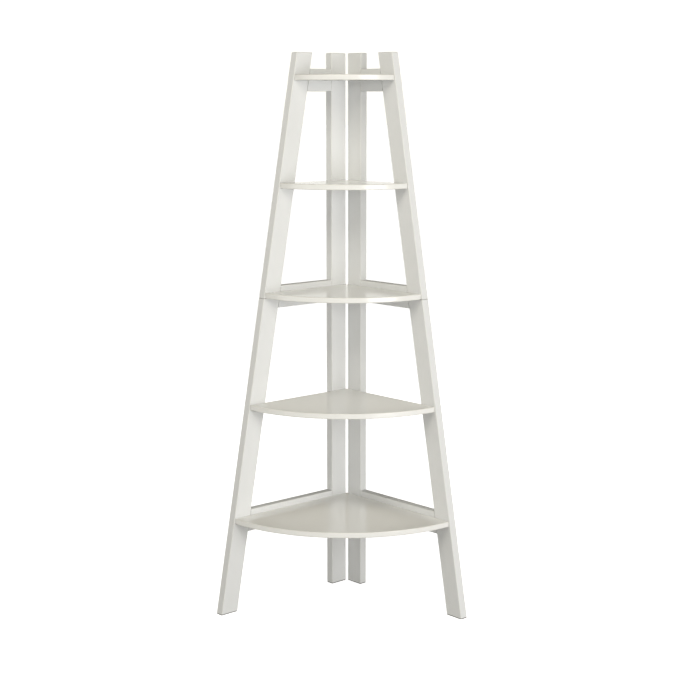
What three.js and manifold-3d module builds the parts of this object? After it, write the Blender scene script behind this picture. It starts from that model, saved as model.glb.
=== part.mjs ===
// A five-tier corner ladder shelf in white painted wood, in millimetres, +Z up.
//
// Two mirrored ladder frames stand at right angles, one along each wall of a room's corner. Each
// frame is a vertical rear post, a front leg that leans back to meet it, and three short rails.
// Five quarter-round shelves fill the corner between the frames. Posts and legs are each two
// lengths, joined end to end by a threaded stud, and every shelf hangs on four screws that are
// driven in from the wall side.
//
// The origin is on the floor, at the middle of the object's footprint box. -Y is the front.

import * as THREE from "three";
import { mergeVertices } from "three/addons/utils/BufferGeometryUtils.js";
import Module from "manifold-3d";

// ---- Driving dimensions ------------------------------------------------------------------

const HEIGHT = 1600; // floor to the flat-cut tops of posts and legs
const BOARD_THICKNESS = 25; // of posts, legs and rails
const BOARD_WIDTH = 57; // of posts and legs, square to their length
const FOOT_REACH = 512; // room corner to the leg's front edge, along the wall, at the floor
const HEAD_REACH = 215; // the same at the top
const CORNER_GAP = 3.5; // each post's clearance past the other frame's inner face

const TIERS = ["top", "upper", "middle", "lower", "bottom"];
const TOP_SHELF_HEIGHT = 1537; // floor to the top shelf's upper face
const FIRST_SHELF_PITCH = 304; // from the top shelf to the one below it
const PITCH_GROWTH = 7; // each pitch further down is this much taller
const SHELF_THICKNESS = 16;
const SHELF_SETBACK = 2; // shelf tip behind the leg's front edge

const RAIL_TIERS = ["top", "middle", "bottom"];
const RAIL_HEIGHT = 64;
const RAIL_LIP = 17; // rail's top edge above its shelf

const FOOT = { thickness: 2, inset: 1 }; // a rubber sole, cut smaller than the board's end

const FIT = 0.3; // clearance between touching pieces

// ---- Fixings -----------------------------------------------------------------------------

const SCREW = {
  length: 50,
  headRadius: 5,
  headHeight: 3.5,
  shankRadius: 3.5,
  shankEnd: 22,
  threadRadius: 2.6,
  tipLength: 4,
  socketRadius: 2.3,
  socketDepth: 2.4,
  sunk: 0.6, // head's face below the board's face
};
const DOWEL = { radius: 4, length: 30 };
const STUD = { radius: 4, length: 60, inset: 14 }; // inset from the board's outer edge

const ROUND_SEGMENTS = 12; // around holes, dowels and screws
const SHELF_ARC_SEGMENTS = 28;
const OVERRUN = 1; // how far a cutter runs past the face it opens

// ---- Finishes ----------------------------------------------------------------------------

const FINISHES = {
  framePaint: { color: 0xecebe4, roughness: 0.38, metalness: 0 },
  shelfPaint: { color: 0xe8e5dc, roughness: 0.32, metalness: 0 },
  zincSteel: { color: 0xa9abad, roughness: 0.35, metalness: 1 },
  beech: { color: 0xc9a87a, roughness: 0.75, metalness: 0 },
  rubber: { color: 0x4c4b49, roughness: 0.85, metalness: 0 },
};

// ---- Derived dimensions ------------------------------------------------------------------

const LEG_SLOPE = (FOOT_REACH - HEAD_REACH) / HEIGHT;
const LEG_CUT_WIDTH = BOARD_WIDTH * Math.hypot(1, LEG_SLOPE); // along a level cut
const POST_REAR = BOARD_THICKNESS + CORNER_GAP;
const POST_FRONT = POST_REAR + BOARD_WIDTH;
const BOARD_UNDERSIDE = FOOT.thickness + FIT;

// Upper face of each shelf, counted down from the top one.
const shelfHeight = (tier) =>
  TOP_SHELF_HEIGHT - tier * FIRST_SHELF_PITCH - ((tier * (tier - 1)) / 2) * PITCH_GROWTH;
const legFront = (z) => FOOT_REACH - LEG_SLOPE * z;
const legRear = (z) => legFront(z) - LEG_CUT_WIDTH;
const shelfRadius = (tier) => legFront(shelfHeight(tier)) - BOARD_THICKNESS - SHELF_SETBACK;

// Posts and legs are divided level with the underside of the middle shelf.
const SEAM_HEIGHT = shelfHeight(TIERS.indexOf("middle")) - SHELF_THICKNESS;

// Straight out from the room's corner, along the line that halves it: the posts' rear corners, the
// corner where the frames' inner faces meet, and the front of the bottom shelf. The footprint box
// runs from the first to the last.
const REARMOST = POST_REAR * Math.SQRT1_2;
const INNER_CORNER = (BOARD_THICKNESS + FIT) * Math.SQRT2;
const FRONTMOST = INNER_CORNER + shelfRadius(TIERS.indexOf("bottom"));
const CORNER_Y = (REARMOST + FRONTMOST) / 2;

// ---- Solid modelling helpers -------------------------------------------------------------

const wasm = await Module();
wasm.setup();

function toSolid(geometry) {
  const bare = geometry.clone();
  bare.deleteAttribute("normal");
  bare.deleteAttribute("uv");
  const merged = mergeVertices(bare);
  return new wasm.Manifold(
    new wasm.Mesh({
      numProp: 3,
      vertProperties: merged.getAttribute("position").array,
      triVerts: new Uint32Array(merged.index.array),
    }),
  );
}

function toGeometry(solid) {
  const { vertProperties, triVerts } = solid.getMesh();
  const geometry = new THREE.BufferGeometry();
  geometry.setAttribute("position", new THREE.BufferAttribute(vertProperties, 3));
  geometry.setIndex(new THREE.BufferAttribute(triVerts, 1));
  geometry.computeVertexNormals();
  return geometry;
}

// geometry with every cutter taken out of it.
function cutAway(geometry, cutters) {
  const cut = cutters.reduce((left, cutter) => left.subtract(toSolid(cutter)), toSolid(geometry));
  return toGeometry(cut);
}

// A round rod from one point to another.
function rod(radius, start, end) {
  const along = end.clone().sub(start);
  const turn = new THREE.Quaternion().setFromUnitVectors(
    new THREE.Vector3(0, 1, 0),
    along.clone().normalize(),
  );
  const middle = start.clone().add(end).multiplyScalar(0.5);
  return new THREE.CylinderGeometry(radius, radius, along.length(), ROUND_SEGMENTS)
    .applyQuaternion(turn)
    .translate(middle.x, middle.y, middle.z);
}

function part(name, geometry, finish) {
  const mesh = new THREE.Mesh(geometry, new THREE.MeshStandardMaterial(FINISHES[finish]));
  mesh.name = name;
  return mesh;
}

// ---- Wall coordinates --------------------------------------------------------------------
// Each frame is drawn in its wall's own coordinates: X is the distance from the room's corner
// along the wall, -Y is the depth off the wall into the room, and Z is the height.

const onWall = (reach, depth, height) => new THREE.Vector3(reach, -depth, height);
const MID_DEPTH = BOARD_THICKNESS / 2;

// A board lying flat on the wall plane, from the outline of its broad face.
function board(outline) {
  const shape = new THREE.Shape(outline.map(([reach, height]) => new THREE.Vector2(reach, height)));
  const options = { depth: BOARD_THICKNESS, bevelEnabled: false };
  return new THREE.ExtrudeGeometry(shape, options).rotateX(Math.PI / 2);
}

// ---- Where the fixings go ----------------------------------------------------------------

const screwHeight = (tier) => shelfHeight(tier) - SHELF_THICKNESS / 2;
const POST_SCREW_REACH = (POST_REAR + POST_FRONT) / 2;
const legScrewReach = (tier) => legFront(screwHeight(tier)) - LEG_CUT_WIDTH / 2;
const railTop = (rail) => shelfHeight(TIERS.indexOf(rail)) + RAIL_LIP;

// The middle rail spans the seam, so its dowels sit in the part above it.
function dowelHeight(rail) {
  const low = rail === "middle" ? SEAM_HEIGHT : railTop(rail) - RAIL_HEIGHT;
  return (low + railTop(rail)) / 2;
}

// The line of a stud across the seam of a post or a leg, reaching this far to each side of it.
function studLine(member, half) {
  const slope = member === "leg" ? -LEG_SLOPE : 0;
  const along = new THREE.Vector3(slope, 0, 1).normalize().multiplyScalar(half);
  const reach =
    member === "leg" ? legFront(SEAM_HEIGHT) - STUD.inset : POST_REAR + STUD.inset;
  const middle = onWall(reach, MID_DEPTH, SEAM_HEIGHT);
  return [middle.clone().sub(along), middle.clone().add(along)];
}

// The line of a dowel between a rail's end and the post or leg beside it.
function dowelLine(rail, member, half) {
  const height = dowelHeight(rail);
  const joint = member === "leg" ? legRear(height) : POST_FRONT;
  return [onWall(joint - half, MID_DEPTH, height), onWall(joint + half, MID_DEPTH, height)];
}

// ---- Holes -------------------------------------------------------------------------------

const dowelHole = (rail, member) =>
  rod(DOWEL.radius + FIT, ...dowelLine(rail, member, DOWEL.length / 2 + FIT));

const studHole = (member) => rod(STUD.radius + FIT, ...studLine(member, STUD.length / 2 + FIT));

// A stepped hole through a board, wide at the wall side for the screw's head.
function screwHoles(reach, height) {
  const seat = SCREW.sunk + SCREW.headHeight + FIT;
  return [
    rod(
      SCREW.shankRadius + FIT,
      onWall(reach, -OVERRUN, height),
      onWall(reach, BOARD_THICKNESS + OVERRUN, height),
    ),
    rod(SCREW.headRadius + FIT, onWall(reach, -OVERRUN, height), onWall(reach, seat, height)),
  ];
}

// ---- Frame pieces ------------------------------------------------------------------------

const HALVES = {
  lower: { bottom: BOARD_UNDERSIDE, top: SEAM_HEIGHT - FIT / 2 },
  upper: { bottom: SEAM_HEIGHT + FIT / 2, top: HEIGHT },
};

const within = (half, height) => height > half.bottom && height < half.top;

// Everything that is drilled into one half of a post or leg.
function memberHoles(member, half) {
  const tiers = TIERS.map((_, tier) => tier).filter((tier) => within(half, screwHeight(tier)));
  const rails = RAIL_TIERS.filter((rail) => within(half, dowelHeight(rail)));
  const screwReach = (tier) => (member === "leg" ? legScrewReach(tier) : POST_SCREW_REACH);
  return [
    studHole(member),
    ...tiers.flatMap((tier) => screwHoles(screwReach(tier), screwHeight(tier))),
    ...rails.map((rail) => dowelHole(rail, member)),
  ];
}

function rearPost(half) {
  const outline = [
    [POST_REAR, half.bottom],
    [POST_FRONT, half.bottom],
    [POST_FRONT, half.top],
    [POST_REAR, half.top],
  ];
  return cutAway(board(outline), memberHoles("post", half));
}

function frontLeg(half) {
  const outline = [
    [legRear(half.bottom), half.bottom],
    [legFront(half.bottom), half.bottom],
    [legFront(half.top), half.top],
    [legRear(half.top), half.top],
  ];
  return cutAway(board(outline), memberHoles("leg", half));
}

// A rail fits between post and leg, with its front end cut to the leg's slope.
function rail(name) {
  const top = railTop(name);
  const bottom = top - RAIL_HEIGHT;
  const outline = [
    [POST_FRONT + FIT, bottom],
    [legRear(bottom) - FIT, bottom],
    [legRear(top) - FIT, top],
    [POST_FRONT + FIT, top],
  ];
  return cutAway(board(outline), [dowelHole(name, "post"), dowelHole(name, "leg")]);
}

// ---- Fixing pieces -----------------------------------------------------------------------

// A shelf screw pointing away from the wall, its head's face at the origin.
function shelfScrew() {
  const profile = [
    [0, -SCREW.length],
    [SCREW.threadRadius, SCREW.tipLength - SCREW.length],
    [SCREW.threadRadius, -SCREW.shankEnd],
    [SCREW.shankRadius, -SCREW.shankEnd],
    [SCREW.shankRadius, -SCREW.headHeight],
    [SCREW.headRadius, -SCREW.headHeight],
    [SCREW.headRadius, 0],
    [0, 0],
  ].map(([radius, y]) => new THREE.Vector2(radius, y));
  const socket = new THREE.CylinderGeometry(
    SCREW.socketRadius,
    SCREW.socketRadius,
    2 * SCREW.socketDepth,
    6,
  );
  return cutAway(new THREE.LatheGeometry(profile, ROUND_SEGMENTS), [socket]);
}

// A flat rubber foot, glued under the whole end of a post or a leg.
function foot(member) {
  const [rear, front] =
    member === "leg"
      ? [legRear(BOARD_UNDERSIDE), legFront(BOARD_UNDERSIDE)]
      : [POST_REAR, POST_FRONT];
  const width = front - rear - 2 * FOOT.inset;
  const depth = BOARD_THICKNESS - 2 * FOOT.inset;
  const middle = onWall((rear + front) / 2, MID_DEPTH, FOOT.thickness / 2);
  return new THREE.BoxGeometry(width, depth, FOOT.thickness).translate(...middle);
}

// ---- Assembly ----------------------------------------------------------------------------

// One ladder frame with its fixings, for the right-hand wall.
function sideFrame(side) {
  const frame = new THREE.Group();
  for (const [name, half] of Object.entries(HALVES)) {
    frame.add(part(`${side}_post_${name}`, rearPost(half), "framePaint"));
    frame.add(part(`${side}_leg_${name}`, frontLeg(half), "framePaint"));
  }
  for (const name of RAIL_TIERS) {
    frame.add(part(`${side}_rail_${name}`, rail(name), "framePaint"));
  }
  for (const member of ["post", "leg"]) {
    const stud = rod(STUD.radius, ...studLine(member, STUD.length / 2));
    frame.add(part(`${side}_${member}_joining_stud`, stud, "zincSteel"));

    frame.add(part(`${side}_${member}_foot`, foot(member), "rubber"));

    for (const name of RAIL_TIERS) {
      const dowel = rod(DOWEL.radius, ...dowelLine(name, member, DOWEL.length / 2));
      frame.add(part(`${side}_${name}_rail_${member}_dowel`, dowel, "beech"));
    }
    TIERS.forEach((name, tier) => {
      const reach = member === "leg" ? legScrewReach(tier) : POST_SCREW_REACH;
      const screw = part(`${side}_${name}_shelf_${member}_screw`, shelfScrew(), "zincSteel");
      screw.position.copy(onWall(reach, SCREW.sunk, screwHeight(tier)));
      frame.add(screw);
    });
  }
  return frame;
}

// A right-hand hole's copy on the left, turned half round about a level line through the middle.
function mirrorLeft(hole) {
  hole.computeBoundingBox();
  const height = (hole.boundingBox.min.z + hole.boundingBox.max.z) / 2;
  return hole.translate(0, 0, -height).rotateY(Math.PI).translate(0, 0, height);
}

// Pilot holes for one wall's two screws, in that wall's coordinates.
function pilotHoles(tier) {
  const height = screwHeight(tier);
  const end = SCREW.sunk + SCREW.length + FIT;
  return [POST_SCREW_REACH, legScrewReach(tier)].map((reach) =>
    rod(
      SCREW.threadRadius + FIT,
      onWall(reach, BOARD_THICKNESS - OVERRUN, height),
      onWall(reach, end, height),
    ),
  );
}

// A quarter-round shelf. Its two straight edges bear on the frames' inner faces.
function shelf(tier) {
  const radius = shelfRadius(tier);
  const toLeft = (-3 / 4) * Math.PI;
  const toRight = -Math.PI / 4;
  const outline = new THREE.Shape();
  outline.moveTo(0, 0);
  outline.lineTo(radius * Math.cos(toLeft), radius * Math.sin(toLeft));
  outline.absarc(0, 0, radius, toLeft, toRight, false);
  const options = {
    depth: SHELF_THICKNESS,
    bevelEnabled: false,
    curveSegments: SHELF_ARC_SEGMENTS,
  };
  const plate = new THREE.ExtrudeGeometry(outline, options);
  plate.translate(0, -INNER_CORNER, shelfHeight(tier) - SHELF_THICKNESS);
  const rightHoles = pilotHoles(tier).map((hole) => hole.rotateZ(toRight));
  const leftHoles = rightHoles.map((hole) => mirrorLeft(hole.clone()));
  return cutAway(plate, [...rightHoles, ...leftHoles]);
}

const ladderShelf = new THREE.Group();

const atCorner = new THREE.Group();
atCorner.position.y = CORNER_Y;
ladderShelf.add(atCorner);

for (const side of ["left", "right"]) {
  const mirrored = new THREE.Group();
  mirrored.scale.x = side === "left" ? -1 : 1;
  const frame = sideFrame(side);
  frame.rotation.z = -Math.PI / 4;
  mirrored.add(frame);
  atCorner.add(mirrored);
}

TIERS.forEach((name, tier) => {
  atCorner.add(part(`shelf_${name}`, shelf(tier), "shelfPaint"));
});

export default ladderShelf;
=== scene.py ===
"""The looks of a five-tier corner ladder shelf in white satin paint.

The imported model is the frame. Each of its pieces is rebuilt here in the same place and to the same
size, with the eased edges, bores, threads and flutes that the plain solids leave out, and with its
own procedural finish. All lengths are in metres.
"""

import math

import bmesh
import bpy
from mathutils import Matrix, Vector


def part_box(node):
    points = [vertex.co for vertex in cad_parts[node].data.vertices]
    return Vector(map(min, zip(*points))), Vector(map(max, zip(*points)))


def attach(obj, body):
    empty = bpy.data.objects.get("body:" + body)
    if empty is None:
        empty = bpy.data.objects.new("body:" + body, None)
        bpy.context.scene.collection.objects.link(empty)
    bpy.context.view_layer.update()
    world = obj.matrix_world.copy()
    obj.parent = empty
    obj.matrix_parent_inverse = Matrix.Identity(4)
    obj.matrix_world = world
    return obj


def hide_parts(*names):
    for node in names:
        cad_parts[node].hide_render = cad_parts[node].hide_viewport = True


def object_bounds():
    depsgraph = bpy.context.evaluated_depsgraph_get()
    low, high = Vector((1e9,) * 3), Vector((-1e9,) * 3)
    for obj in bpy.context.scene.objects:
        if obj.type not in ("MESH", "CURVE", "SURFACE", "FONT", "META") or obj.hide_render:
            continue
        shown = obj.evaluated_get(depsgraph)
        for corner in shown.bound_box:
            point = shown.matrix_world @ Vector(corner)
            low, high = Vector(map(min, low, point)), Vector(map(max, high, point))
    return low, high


MM = 0.001
TOLERANCE = 0.01 * MM

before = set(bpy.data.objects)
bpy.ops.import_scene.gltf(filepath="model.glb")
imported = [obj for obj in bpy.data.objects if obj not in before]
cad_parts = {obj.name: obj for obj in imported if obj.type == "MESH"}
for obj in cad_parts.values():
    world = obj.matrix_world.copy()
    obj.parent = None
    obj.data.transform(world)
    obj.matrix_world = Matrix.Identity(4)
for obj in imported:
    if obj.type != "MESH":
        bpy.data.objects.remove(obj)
cad_low, cad_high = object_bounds()

# ---- Camera ------------------------------------------------------------------------------------

CAMERA_AZIMUTH = math.radians(2.73)  # to the right of straight in front
CAMERA_ELEVATION = math.radians(9.6)
CAMERA_DISTANCE = 4.276
CAMERA_TARGET = Vector((0.0195, 0.0, 0.757))
CAMERA_LENS = 76.5  # millimetres, on a sensor 36 wide


def direction_at(azimuth, elevation):
    """The unit vector that far round to the right of the front, and that far up."""
    level = math.cos(elevation)
    return Vector((math.sin(azimuth) * level, -math.cos(azimuth) * level, math.sin(elevation)))


def add_camera():
    data = bpy.data.cameras.new("camera")
    data.lens = CAMERA_LENS
    camera = bpy.data.objects.new("camera", data)
    bpy.context.scene.collection.objects.link(camera)
    back = direction_at(CAMERA_AZIMUTH, CAMERA_ELEVATION)
    camera.location = CAMERA_TARGET + back * CAMERA_DISTANCE
    camera.rotation_euler = back.to_track_quat("Z", "Y").to_euler()
    bpy.context.scene.camera = camera


# ---- Stage and light ---------------------------------------------------------------------------

FLOOR_RADIUS = 80.0
FLOOR_TONE = (0.9, 0.9, 0.9)
FLOOR_GLOW = (0.78, 1.0)  # the white sweep's own light, near the object and far from it
FLOOR_NEAR_AND_FAR = (0.8, 4.0)  # how far from the object those two lie

# The studio's light at each height, as (sine of the elevation, colour).
SURROUNDINGS = [
    (-0.10, (0.18, 0.175, 0.155)),  # what little light the floor throws back up
    (-0.04, (1.00, 0.99, 0.94)),  # white walls
    (0.18, (1.00, 0.99, 0.94)),
    (0.22, (0.36, 0.33, 0.26)),  # the walls' warm upper part, which the shelves mirror
    (0.34, (0.26, 0.23, 0.17)),
    (0.44, (0.05, 0.05, 0.04)),  # dark ceiling
    (1.00, (0.08, 0.08, 0.07)),
]
SURROUNDINGS_STRENGTH = 1.10

WHITE = (1.0, 1.0, 1.0)
WARM = (1.0, 0.965, 0.86)
SOFTBOX_DISTANCE = 3.5

# Each softbox: degrees to the right of the front, degrees up, metres across, watts and colour.
SOFTBOXES = {
    "key": (42, 2, 2.0, 66, WHITE),
    "fill": (-60, 5, 2.0, 14, WHITE),
    "overhead": (-10, 45, 1.8, 47, WARM),
    "rear_left": (-135, 5, 1.6, 46, WHITE),
    "rear_right": (135, 5, 1.6, 46, WHITE),
}


def add_floor():
    bm = bmesh.new()
    bmesh.ops.create_circle(bm, cap_ends=True, radius=FLOOR_RADIUS, segments=128)
    mesh = bpy.data.meshes.new("floor")
    bm.to_mesh(mesh)
    bm.free()
    floor = bpy.data.objects.new("floor", mesh)
    bpy.context.scene.collection.objects.link(floor)
    mesh.materials.append(floor_material())
    floor.visible_diffuse = False  # the object is lit by the surroundings, not by the white sweep


def add_softbox(name, azimuth, elevation, size, power, colour):
    """A square area light that faces the middle of the object."""
    data = bpy.data.lights.new(name, "AREA")
    data.shape = "SQUARE"
    data.size = size
    data.energy = power
    data.color = colour
    light = bpy.data.objects.new(name, data)
    bpy.context.scene.collection.objects.link(light)
    back = direction_at(math.radians(azimuth), math.radians(elevation))
    middle = (cad_low + cad_high) / 2
    light.location = middle + back * SOFTBOX_DISTANCE
    light.rotation_euler = back.to_track_quat("Z", "Y").to_euler()


def add_surroundings():
    """White walls all round under a dark ceiling."""
    world = bpy.data.worlds.new("studio")
    bpy.context.scene.world = world
    world.use_nodes = True
    tree = world.node_tree
    tree.nodes.clear()
    direction = add_node(tree, "TexCoord").outputs["Generated"]
    split = add_node(tree, "SeparateXYZ")
    feed(tree, split.inputs["Vector"], direction)
    ramp = add_node(tree, "ValToRGB")
    feed(tree, ramp.inputs["Fac"], remap(tree, split.outputs["Z"], (-1, 1), (0, 1)))
    stops = ramp.color_ramp.elements
    stops.remove(stops[1])
    for rise, colour in SURROUNDINGS[1:]:
        stops.new((rise + 1) / 2).color = (*colour, 1)
    stops[0].position = (SURROUNDINGS[0][0] + 1) / 2
    stops[0].color = (*SURROUNDINGS[0][1], 1)
    light = add_node(tree, "Background")
    feed(tree, light.inputs["Color"], ramp.outputs["Color"])
    feed(tree, light.inputs["Strength"], SURROUNDINGS_STRENGTH)
    output = add_node(tree, "OutputWorld")
    feed(tree, output.inputs["Surface"], light.outputs["Background"])
    bpy.context.scene.view_settings.view_transform = "Standard"


# ---- Shader helpers ----------------------------------------------------------------------------
# Each helper adds nodes to a material's tree and returns the socket that carries its result.


def add_node(tree, kind, **settings):
    node = tree.nodes.new("ShaderNode" + kind)
    for name, value in settings.items():
        setattr(node, name, value)
    return node


def feed(tree, entry, value):
    """Gives an input socket a plain value, a colour or another node's output."""
    if isinstance(value, bpy.types.NodeSocket):
        tree.links.new(value, entry)
    elif entry.type == "RGBA":
        entry.default_value = (*value, 1.0)
    else:
        entry.default_value = value


def new_material(name):
    """An empty material with its output and one Principled shader."""
    material = bpy.data.materials.new(name)
    material.use_nodes = True
    tree = material.node_tree
    tree.nodes.clear()
    shader = add_node(tree, "BsdfPrincipled")
    output = add_node(tree, "OutputMaterial")
    feed(tree, output.inputs["Surface"], shader.outputs["BSDF"])
    return material, tree, shader


def attribute(tree, name, output):
    return add_node(tree, "Attribute", attribute_name=name).outputs[output]


def noise(tree, cells, detail=3.0):
    """Noise with that many cells to the metre along the piece's own X, Y and Z."""
    scaled = add_node(tree, "VectorMath", operation="MULTIPLY")
    feed(tree, scaled.inputs[0], attribute(tree, "own", "Vector"))
    feed(tree, scaled.inputs[1], cells)
    pattern = add_node(tree, "TexNoise")
    feed(tree, pattern.inputs["Vector"], scaled.outputs["Vector"])
    feed(tree, pattern.inputs["Scale"], 1.0)
    feed(tree, pattern.inputs["Detail"], detail)
    return pattern.outputs["Fac"]


def remap(tree, value, source, target):
    """The value moved from one range to another, and held inside it."""
    mapped = add_node(tree, "MapRange")
    feed(tree, mapped.inputs["Value"], value)
    feed(tree, mapped.inputs["From Min"], source[0])
    feed(tree, mapped.inputs["From Max"], source[1])
    feed(tree, mapped.inputs["To Min"], target[0])
    feed(tree, mapped.inputs["To Max"], target[1])
    return mapped.outputs["Result"]


def arithmetic(tree, operation, *values):
    node = add_node(tree, "Math", operation=operation)
    for entry, value in zip(node.inputs, values):
        feed(tree, entry, value)
    return node.outputs["Value"]


def tint(tree, factor, first, second):
    """The colour between two others, each plain or from a node."""
    mix = add_node(tree, "Mix", data_type="RGBA")
    feed(tree, mix.inputs["Factor"], factor)
    first_in, second_in = [entry for entry in mix.inputs if entry.type == "RGBA"]
    feed(tree, first_in, first)
    feed(tree, second_in, second)
    return next(output for output in mix.outputs if output.type == "RGBA")


def relief(tree, height, depth, under=None):
    """A normal for relief that deep, laid over another."""
    bump = add_node(tree, "Bump")
    feed(tree, bump.inputs["Height"], height)
    feed(tree, bump.inputs["Distance"], depth)
    if under is not None:
        feed(tree, bump.inputs["Normal"], under)
    return bump.outputs["Normal"]


# ---- Materials ---------------------------------------------------------------------------------


def floor_material():
    """A white sweep that glows a little more away from the object, so that its far edge is lost."""
    material, tree, shader = new_material("pale_floor")
    place = add_node(tree, "TexCoord").outputs["Object"]
    distance = add_node(tree, "VectorMath", operation="LENGTH")
    feed(tree, distance.inputs[0], place)
    glow = remap(tree, distance.outputs["Value"], FLOOR_NEAR_AND_FAR, FLOOR_GLOW)
    feed(tree, shader.inputs["Base Color"], FLOOR_TONE)
    feed(tree, shader.inputs["Roughness"], 0.9)
    feed(tree, shader.inputs["Specular IOR Level"], 0.0)
    feed(tree, shader.inputs["Emission Color"], (1.0, 1.0, 1.0))
    feed(tree, shader.inputs["Emission Strength"], glow)
    return material


# The paint's patterns, as cells to the metre along a piece's own X, Y and Z.
GRAIN_CELLS = (5, 170, 170)
ORANGE_PEEL_CELLS = (620, 620, 620)
CLOUD_CELLS = (9, 14, 14)
SPECKLE_CELLS = (420, 420, 420)

GRAIN_DEPTH = 0.03 * MM
ORANGE_PEEL_DEPTH = 0.012 * MM
CLOUD_SHADES = (0.982, 1.012)  # the coat's deepest and palest tone, as parts of its own
UNDERCOAT_SHADE = (0.93, 0.91, 0.86)
ROUGHNESS_SPREAD = (-0.03, 0.04)
UNDERCOAT_ROUGHNESS = 0.12  # how much rougher it is where the undercoat shows

# The colour of the painted shade in the joints and on the rails' top faces, where shade falls.
PAINTED_SHADE_TONE = (0.16, 0.15, 0.13)
SHADE_IN_JOINTS = 0.85  # how much of the painted shade's colour shows in the joints
# how much of the painted shade shows on the rails' top faces, which little light reaches
SHADE_ON_LEDGES = 0.3


def shaded(tone, shade):
    return tuple(min(1.0, channel * part) for channel, part in zip(tone, shade))


def marked(tree, name, amount):
    """That amount on the faces that carry the mark, and none on the others."""
    return remap(tree, attribute(tree, name, "Fac"), (0, 1), (0, amount))


def satin_paint(name, tone, roughness, specular):
    """Sprayed white paint: orange peel over a trace of grain, thin on the arrises, painted shade in
    joints and on ledges.
    """
    material, tree, shader = new_material(name)
    grain = noise(tree, GRAIN_CELLS, detail=4)
    peel = noise(tree, ORANGE_PEEL_CELLS, detail=2)
    cloud = remap(tree, noise(tree, CLOUD_CELLS, detail=2), (0.3, 0.7), (0, 1))
    speckle = remap(tree, noise(tree, SPECKLE_CELLS), (0.45, 0.7), (0.15, 1))

    deeper, paler = (shaded(tone, [shade] * 3) for shade in CLOUD_SHADES)
    thin = arithmetic(tree, "MULTIPLY", attribute(tree, "arris", "Fac"), speckle)
    undercoat = shaded(tone, UNDERCOAT_SHADE)
    coat = tint(tree, thin, tint(tree, cloud, deeper, paler), undercoat)
    # Painted shade: darkens the joints between pieces and the rails' top faces, which stand in shade.
    shade_in_joints = marked(tree, "joint", SHADE_IN_JOINTS)
    shade_on_ledges = marked(tree, "ledge", SHADE_ON_LEDGES)
    painted_shade = arithmetic(tree, "MAXIMUM", shade_in_joints, shade_on_ledges)
    feed(tree, shader.inputs["Base Color"], tint(tree, painted_shade, coat, PAINTED_SHADE_TONE))

    even = remap(tree, cloud, (0, 1), [roughness + spread for spread in ROUGHNESS_SPREAD])
    rough = arithmetic(tree, "MULTIPLY_ADD", thin, UNDERCOAT_ROUGHNESS, even)
    feed(tree, shader.inputs["Roughness"], rough)
    feed(tree, shader.inputs["Specular IOR Level"], specular)

    fibres = relief(tree, grain, GRAIN_DEPTH)
    feed(tree, shader.inputs["Normal"], relief(tree, peel, ORANGE_PEEL_DEPTH, under=fibres))
    return material


def zinc_steel():
    """Bright zinc plating, faintly clouded, with fine turning marks round the piece."""
    material, tree, shader = new_material("zinc_steel")
    cloud = remap(tree, noise(tree, (260, 260, 260)), (0.35, 0.65), (0, 1))
    marks = noise(tree, (300, 300, 5200), detail=2)
    feed(tree, shader.inputs["Base Color"], tint(tree, cloud, (0.50, 0.52, 0.54), (0.66, 0.66, 0.63)))
    feed(tree, shader.inputs["Roughness"], remap(tree, cloud, (0, 1), (0.26, 0.42)))
    feed(tree, shader.inputs["Normal"], relief(tree, marks, 0.01 * MM))
    feed(tree, shader.inputs["Metallic"], 1.0)
    return material


def beech():
    """Bare beech: straight grain along the dowel and short dark flecks."""
    material, tree, shader = new_material("beech")
    grain = remap(tree, noise(tree, (1500, 1500, 60), detail=4), (0.3, 0.7), (0, 1))
    fleck = remap(tree, noise(tree, (2600, 2600, 420), detail=1), (0.62, 0.7), (0, 0.8))
    wood = tint(tree, grain, (0.42, 0.27, 0.14), (0.62, 0.44, 0.26))
    feed(tree, shader.inputs["Base Color"], tint(tree, fleck, wood, (0.27, 0.15, 0.07)))
    feed(tree, shader.inputs["Roughness"], remap(tree, grain, (0, 1), (0.6, 0.78)))
    feed(tree, shader.inputs["Normal"], relief(tree, grain, 0.03 * MM))
    return material


def sheet_rubber():
    """Dark grey sheet rubber, matt from its cloth-pressed surface and dusty in patches."""
    material, tree, shader = new_material("sheet_rubber")
    weave = noise(tree, (900, 900, 900), detail=2)
    dust = remap(tree, noise(tree, (120, 120, 120)), (0.45, 0.75), (0, 1))
    feed(tree, shader.inputs["Base Color"], tint(tree, dust, (0.07, 0.07, 0.066), (0.16, 0.155, 0.145)))
    feed(tree, shader.inputs["Roughness"], remap(tree, dust, (0, 1), (0.68, 0.88)))
    feed(tree, shader.inputs["Normal"], relief(tree, weave, 0.05 * MM))
    return material


MATERIALS = {
    "frame_paint": satin_paint("frame_paint", (0.78, 0.785, 0.785), roughness=0.50, specular=0.20),
    "shelf_paint": satin_paint("shelf_paint", (0.85, 0.845, 0.82), roughness=0.13, specular=0.55),
    "zinc_steel": zinc_steel(),
    "beech": beech(),
    "rubber": sheet_rubber(),
}


# ---- Measuring the frame -----------------------------------------------------------------------

UP = Vector((0, 0, 1))
INTO_ROOM = {
    "left": Vector((1, -1, 0)).normalized(),
    "right": Vector((-1, -1, 0)).normalized(),
}
ALONG_WALL = {
    "left": Vector((-1, -1, 0)).normalized(),
    "right": Vector((1, -1, 0)).normalized(),
}


def side_of(node):
    return node.split("_")[0]


def points_of(node):
    return [vertex.co.copy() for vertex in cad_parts[node].data.vertices]


def turn(x_axis, z_axis):
    """A rotation whose X and Z axes point those ways."""
    y_axis = z_axis.cross(x_axis).normalized()
    return Matrix((x_axis, y_axis, z_axis)).transposed()


def extent(points, rotation):
    """The lowest and highest corners of the points in that rotation's own axes."""
    local = [rotation.transposed() @ point for point in points]
    low = Vector([min(point[i] for point in local) for i in range(3)])
    high = Vector([max(point[i] for point in local) for i in range(3)])
    return low, high


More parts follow.
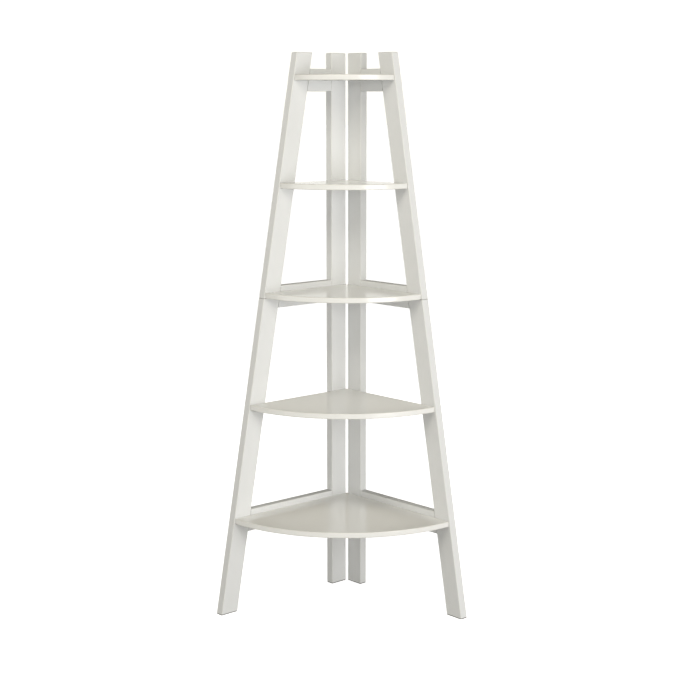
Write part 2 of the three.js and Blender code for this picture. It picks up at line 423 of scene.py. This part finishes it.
def board_corners(node):
    """A board's four corners on its wall face, in order round the outline from the lower rear."""
    along = ALONG_WALL[side_of(node)]
    low, high = extent(points_of(node), turn(along, INTO_ROOM[side_of(node)]))
    bottom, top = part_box(node)[0].z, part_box(node)[1].z
    corners = []
    for height, ends in ((bottom, (min, max)), (top, (max, min))):
        level = [point for point in points_of(node) if abs(point.z - height) < TOLERANCE]
        for pick in ends:
            reach = pick(point.dot(along) for point in level)
            corners.append(along * reach + INTO_ROOM[side_of(node)] * low.z + UP * height)
    return corners, high.z - low.z


# ---- Mesh helpers ------------------------------------------------------------------------------

SMOOTH_BELOW = math.radians(35)
ARRIS_SEGMENTS = 4
ROUND_PROFILE = 0.5
LEVEL_WITHIN = 0.9  # a ledge, which gets painted shade, has at least this part of its normal in the given direction
FACE_MARKS = ("arris", "joint", "ledge")  # what the paint's wear and painted shade follow


def new_piece(name, mesh, material, place=Matrix()):
    piece = bpy.data.objects.new(name, mesh)
    piece.matrix_world = place
    bpy.context.scene.collection.objects.link(piece)
    if not mesh.materials:
        mesh.materials.append(material)
    return piece


def store_own_coordinates(mesh, shift=Vector()):
    """Keeps each vertex's place in the piece's own axes, which its finish follows.

    The shift gives each piece its own part of the pattern.
    """
    own = mesh.attributes.new("own", "FLOAT_VECTOR", "POINT")
    for vertex, value in zip(mesh.vertices, own.data):
        value.vector = vertex.co + shift


def plate_mesh(name, outline, thickness, arris, is_butt, butt_arris, joint_shade=1.0, shade_direction=Vector()):
    """A flat board from its outline in XY, as thick as that in Z, with every edge rounded over.

    A face that butts against another piece has a smaller arris. is_butt tells one by its normal.
    The finish follows marks on the faces: the arrises, the joints, which get painted shade, and
    the ledges, which are the faces that look in the given direction and get painted shade too.
    """
    bm = bmesh.new()
    marks = {mark: bm.faces.layers.float.new(mark) for mark in FACE_MARKS}
    corners = [bm.verts.new((x, y, 0)) for x, y in outline]
    back = bm.faces.new(corners)
    front = bmesh.ops.extrude_face_region(bm, geom=[back])
    raised = [item for item in front["geom"] if isinstance(item, bmesh.types.BMVert)]
    bmesh.ops.translate(bm, verts=raised, vec=(0, 0, thickness))
    bmesh.ops.recalc_face_normals(bm, faces=bm.faces)
    # The butt joints' small arrises are marked for painted shade, the others for wear.
    for mark, at_butt, offset, amount in (
        ("arris", False, arris, 1.0),
        ("joint", True, butt_arris, joint_shade),
    ):
        edges = [
            edge
            for edge in bm.edges
            if edge.calc_face_angle(0) > SMOOTH_BELOW
            and any(is_butt(face.normal) for face in edge.link_faces) == at_butt
        ]
        rounded = bmesh.ops.bevel(
            bm,
            geom=edges,
            offset=offset,
            segments=ARRIS_SEGMENTS,
            profile=ROUND_PROFILE,
            affect="EDGES",
            clamp_overlap=True,
        )
        for face in rounded["faces"]:
            face[marks[mark]] = amount
    # Faces that look in the given direction are ledges, and get painted shade.
    for face in bm.faces:
        if face.normal.dot(shade_direction) > LEVEL_WITHIN:
            face[marks["ledge"]] = 1.0
    mesh = bpy.data.meshes.new(name)
    bm.to_mesh(mesh)
    bm.free()
    return mesh


def turned_mesh(name, rings, segments):
    """A closed piece round the Z axis. A ring is its height and its radius at each angle."""
    bm = bmesh.new()
    angles = [2 * math.pi * i / segments for i in range(segments)]
    loops = []
    for height, radius in rings:
        spots = [(radius(a) * math.cos(a), radius(a) * math.sin(a), height) for a in angles]
        loops.append([bm.verts.new(spot) for spot in spots])
    for lower, upper in zip(loops, loops[1:]):
        for i in range(segments):
            j = (i + 1) % segments
            bm.faces.new((lower[i], lower[j], upper[j], upper[i]))
    bm.faces.new(reversed(loops[0]))
    bm.faces.new(loops[-1])
    mesh = bpy.data.meshes.new(name)
    bm.to_mesh(mesh)
    bm.free()
    mesh.shade_smooth()
    mesh.set_sharp_from_angle(angle=SMOOTH_BELOW)
    store_own_coordinates(mesh)
    return mesh


def constant(radius):
    return lambda angle: radius


# ---- Fixings -----------------------------------------------------------------------------------

FIT = 0.3 * MM  # clearance round every fixing
THREAD_SEGMENTS = 36
RINGS_IN_A_TURN = 8
THREAD_STEEPNESS = 1.4  # over 1, so that the crest is flat
SCREW_PITCH = 2.5 * MM
SCREW_THREAD_DEPTH = 0.7 * MM
SCREW_EASE = 0.5 * MM
SOCKET_LEAD = 0.3 * MM
POINT_LENGTH = 0.2 * MM
POINT_RADII = (0.4 * MM, 0.05 * MM)
STUD_PITCH = 1.25 * MM
STUD_THREAD_DEPTH = 0.5 * MM
STUD_END_STEP = 0.4 * MM  # how much thinner its end faces are than its thread's core
DOWEL_FLUTES = 16
SEGMENTS_IN_A_FLUTE = 6
DOWEL_FLUTE_DEPTH = 0.25 * MM
END_CHAMFER = 0.8 * MM
ON_THE_AXIS = 0.05  # a point nearer to a fixing's axis than this, in millimetres, is no step's edge


def kind_of(node):
    """Which kind of fixing a node is, or None for a board, a shelf or a foot."""
    kind = node.split("_")[-1]
    return kind if kind in ("screw", "dowel", "stud") else None


def is_rail(node):
    return "_rail_" in node


def long_edge(node):
    """The direction of a board's longest edge, upward or away from the room's corner."""
    corners, _ = board_corners(node)
    upright = corners[3] - corners[0]
    level = corners[1] - corners[0]
    return max(upright, level, key=lambda edge: edge.length).normalized()


def axis_of(node):
    """The direction that a fixing points in, from its head or its first end."""
    side = side_of(node)
    kind = kind_of(node)
    if kind == "screw":
        return INTO_ROOM[side]
    if kind == "dowel":
        return ALONG_WALL[side]
    member = node.split("_")[1]
    return long_edge(f"{side}_{member}_upper")


def fixing_place(node):
    """A fixing's own frame: its origin at its first end and Z along it."""
    axis = axis_of(node)
    across = axis.orthogonal().normalized()
    rotation = turn(across, axis)
    low, high = extent(points_of(node), rotation)
    start = rotation @ Vector(((low.x + high.x) / 2, (low.y + high.y) / 2, low.z))
    return Matrix.Translation(start) @ rotation.to_4x4()


def steps_of(node):
    """A fixing's radii from the widest down, each as (radius, where it begins, where it ends)."""
    into_own = fixing_place(node).inverted()
    spans = {}
    for point in points_of(node):
        own = into_own @ point
        radius = round(math.hypot(own.x, own.y) / MM, 2)
        span = spans.setdefault(radius, [own.z, own.z])
        span[:] = min(span[0], own.z), max(span[1], own.z)
    widest_first = sorted((radius for radius in spans if radius > ON_THE_AXIS), reverse=True)
    return [(radius * MM, *spans[radius]) for radius in widest_first]


def thread_rings(outer, depth, pitch, begin, end):
    """Rings of a screw thread, whose crest climbs one pitch in each turn."""

    def radius_at(height):
        def radius(angle):
            phase = (height / pitch - angle / (2 * math.pi)) % 1.0
            crest = 1 - abs(2 * phase - 1)
            return outer - depth * (1 - min(1.0, THREAD_STEEPNESS * crest))

        return radius

    count = round((end - begin) / pitch * RINGS_IN_A_TURN)
    heights = [begin + (end - begin) * i / count for i in range(count + 1)]
    return [(height, radius_at(height)) for height in heights]


def hexagon(apothem):
    """The radius of a hexagonal hole at each angle."""
    sixth = math.pi / 3
    return lambda angle: apothem / math.cos((angle + sixth / 2) % sixth - sixth / 2)


def screw_mesh(node):
    """A connecting screw: flat head with a hex socket, plain shank, coarse thread and a point."""
    head, shank, thread, socket = steps_of(node)[:4]
    low, high = extent(points_of(node), fixing_place(node).to_3x3())
    tip = high.z - low.z
    core = thread[0] - SCREW_THREAD_DEPTH
    flats = socket[0] * math.cos(math.pi / 6)
    rings = [
        (socket[2], hexagon(flats)),
        (SOCKET_LEAD, hexagon(flats)),
        (0, hexagon(flats + SOCKET_LEAD)),
        (0, constant(head[0] - SCREW_EASE)),
        (0.3 * SCREW_EASE, constant(head[0] - 0.3 * SCREW_EASE)),
        (SCREW_EASE, constant(head[0])),
        (head[2], constant(head[0])),
        (head[2], constant(shank[0])),
        (shank[2] - SCREW_EASE, constant(shank[0])),
        (shank[2], constant(core)),
    ]
    rings += thread_rings(
        thread[0], SCREW_THREAD_DEPTH, SCREW_PITCH, shank[2] + SCREW_EASE, thread[2]
    )
    rings += [(tip - POINT_LENGTH, constant(POINT_RADII[0])), (tip, constant(POINT_RADII[1]))]
    return turned_mesh("screw", rings, THREAD_SEGMENTS)


def stud_mesh(node):
    """Threaded rod with a chamfer at each end."""
    radius, begin, end = steps_of(node)[0]
    end_face = constant(radius - STUD_THREAD_DEPTH - STUD_END_STEP)
    rings = [(begin, end_face)]
    rings += thread_rings(
        radius, STUD_THREAD_DEPTH, STUD_PITCH, begin + END_CHAMFER, end - END_CHAMFER
    )
    rings += [(end, end_face)]
    return turned_mesh("stud", rings, THREAD_SEGMENTS)


def dowel_mesh(node):
    """A fluted dowel with chamfered ends."""
    radius, begin, end = steps_of(node)[0]

    def fluted(angle):
        return radius - DOWEL_FLUTE_DEPTH * (0.5 - 0.5 * math.cos(DOWEL_FLUTES * angle))

    rings = [
        (begin, constant(radius - END_CHAMFER)),
        (begin + END_CHAMFER, fluted),
        (end - END_CHAMFER, fluted),
        (end, constant(radius - END_CHAMFER)),
    ]
    return turned_mesh("dowel", rings, DOWEL_FLUTES * SEGMENTS_IN_A_FLUTE)


FIXING_KINDS = {
    "screw": (screw_mesh, "zinc_steel"),
    "stud": (stud_mesh, "zinc_steel"),
    "dowel": (dowel_mesh, "beech"),
}
fixing_meshes = {}


def make_fixing(node):
    """Fixings of one kind share a mesh."""
    kind = kind_of(node)
    shape, slot = FIXING_KINDS[kind]
    if kind not in fixing_meshes:
        fixing_meshes[kind] = shape(node)
    place = fixing_place(node)
    piece = new_piece(f"{node}_finished", fixing_meshes[kind], MATERIALS[slot], place)
    hand_over(piece, node)


def hand_over(piece, node):
    """The piece takes the CAD node's place in the model."""
    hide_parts(node)
    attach(piece, "root")


# ---- Bores -------------------------------------------------------------------------------------


BORE_SEGMENTS = 32
SCREW_OVERSHOOT = 2 * MM


def bore(node):
    """A cutter the shape of a fixing's hole: its steps, each wider by the clearance."""
    steps = sorted((step for step in steps_of(node) if step[2] > step[1]), key=lambda s: s[1])
    outline = []
    for radius, begin, end in steps:
        if outline and radius > outline[-1][0]:
            continue
        outline.append((radius, begin, end))
    first = outline[0]
    rings = [(first[1] - overshoot(node), constant(first[0] + FIT))]
    for radius, _, end in outline:
        if radius != first[0]:
            rings.append((rings[-1][0], constant(radius + FIT)))
        rings.append((end + FIT, constant(radius + FIT)))
    cutter = bpy.data.objects.new("bore", turned_mesh("bore", rings, BORE_SEGMENTS))
    cutter.matrix_world = fixing_place(node)
    return cutter


def overshoot(node):
    """How far a bore runs out behind its fixing. Only screws enter through a face."""
    return SCREW_OVERSHOOT if kind_of(node) == "screw" else FIT


def boxes_meet(node, other):
    low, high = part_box(node)
    other_low, other_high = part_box(other)
    return all(low[i] < other_high[i] and other_low[i] < high[i] for i in range(3))


def drilled(mesh, node, place):
    """The mesh with the bores of all the fixings that meet this board or shelf."""
    scene = bpy.context.scene
    blank = new_piece("blank", mesh, None, place)
    cutters = [bore(other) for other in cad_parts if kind_of(other) and boxes_meet(node, other)]
    for cutter in cutters:
        scene.collection.objects.link(cutter)
        cut = blank.modifiers.new("bore", "BOOLEAN")
        cut.operation = "DIFFERENCE"
        cut.solver = "EXACT"
        cut.object = cutter
    graph = bpy.context.evaluated_depsgraph_get()
    result = bpy.data.meshes.new_from_object(blank.evaluated_get(graph), depsgraph=graph)
    for helper in [blank, *cutters]:
        bpy.data.objects.remove(helper)
    return result


# ---- Boards and shelves ------------------------------------------------------------------------

BOARD_ARRIS = 2.5 * MM
SHELF_ARRIS = 2.5 * MM
BUTT_ARRIS = 0.6 * MM
RAIL_JOINT_SHADE = 0.3  # the rails' joints get less painted shade than the seams
FOOT_ARRIS = 0.4 * MM
SHELF_SEGMENTS = 96
PATTERN_SPREAD = 7.3  # how far apart in the pattern two pieces lie, for each metre between them

# How much of a face's normal points along a board, or to a shelf's back, when it butts there.
END_ON = 0.7
BACK_ON = 0.5


def make_plate(node, mesh, place, slot):
    """Sets the mesh of a board, shelf or foot in place, with its finish."""
    store_own_coordinates(mesh, PATTERN_SPREAD * place.translation)
    mesh.transform(place)
    mesh.shade_smooth()
    mesh.set_sharp_from_angle(angle=SMOOTH_BELOW)
    mesh.materials.clear()
    piece = new_piece(f"{node}_finished", mesh, MATERIALS[slot])
    even = piece.modifiers.new("even_normals", "WEIGHTED_NORMAL")
    even.keep_sharp = True
    hand_over(piece, node)


def is_board_end(normal):
    return abs(normal.x) > END_ON


def is_lower_end(normal):
    return normal.x < -END_ON


def is_shelf_back(normal):
    return normal.y > BACK_ON


def make_board(node):
    """A post, leg or rail. Its own X axis and its grain run along its longest edge."""
    corners, thickness = board_corners(node)
    rotation = turn(long_edge(node), INTO_ROOM[side_of(node)])
    place = Matrix.Translation(corners[0]) @ rotation.to_4x4()
    into_own = place.inverted()
    outline = [(into_own @ corner).xy for corner in corners]
    is_butt = is_lower_end if node.endswith("_upper") else is_board_end
    blank = plate_mesh(
        node,
        outline,
        thickness,
        BOARD_ARRIS,
        is_butt,
        BUTT_ARRIS,
        # The rails get less painted shade in their joints, and painted shade on their top faces.
        joint_shade=RAIL_JOINT_SHADE if is_rail(node) else 1.0,
        shade_direction=rotation.transposed() @ UP if is_rail(node) else Vector(),
    )
    make_plate(node, drilled(blank, node, place), place, "frame_paint")


def make_shelf(node):
    """A quarter-round shelf about the corner where the frames' inner faces meet."""
    low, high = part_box(node)
    radius = high.y - low.y
    outline = [(0, 0)]
    for i in range(SHELF_SEGMENTS + 1):
        angle = -0.75 * math.pi + 0.5 * math.pi * i / SHELF_SEGMENTS
        outline.append((radius * math.cos(angle), radius * math.sin(angle)))
    place = Matrix.Translation((0, high.y, low.z))
    blank = plate_mesh(node, outline, high.z - low.z, SHELF_ARRIS, is_shelf_back, BUTT_ARRIS)
    make_plate(node, drilled(blank, node, place), place, "shelf_paint")


def make_foot(node):
    """A flat rubber foot, whose own X axis runs along the wall."""
    rotation = turn(ALONG_WALL[side_of(node)], UP)
    low, high = extent(points_of(node), rotation)
    size = high - low
    outline = [(0, 0), (size.x, 0), (size.x, size.y), (0, size.y)]
    place = Matrix.Translation(rotation @ low) @ rotation.to_4x4()
    blank = plate_mesh(node, outline, size.z, FOOT_ARRIS, is_board_end, FOOT_ARRIS)
    make_plate(node, blank, place, "rubber")


# ---- Assembly ----------------------------------------------------------------------------------

bpy.context.view_layer.update()
for node in sorted(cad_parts):
    if kind_of(node):
        make_fixing(node)
    elif node.startswith("shelf_"):
        make_shelf(node)
    elif node.endswith("_foot"):
        make_foot(node)
    else:
        make_board(node)

add_camera()
add_floor()
for name, settings in SOFTBOXES.items():
    add_softbox(name, *settings)
add_surroundings()
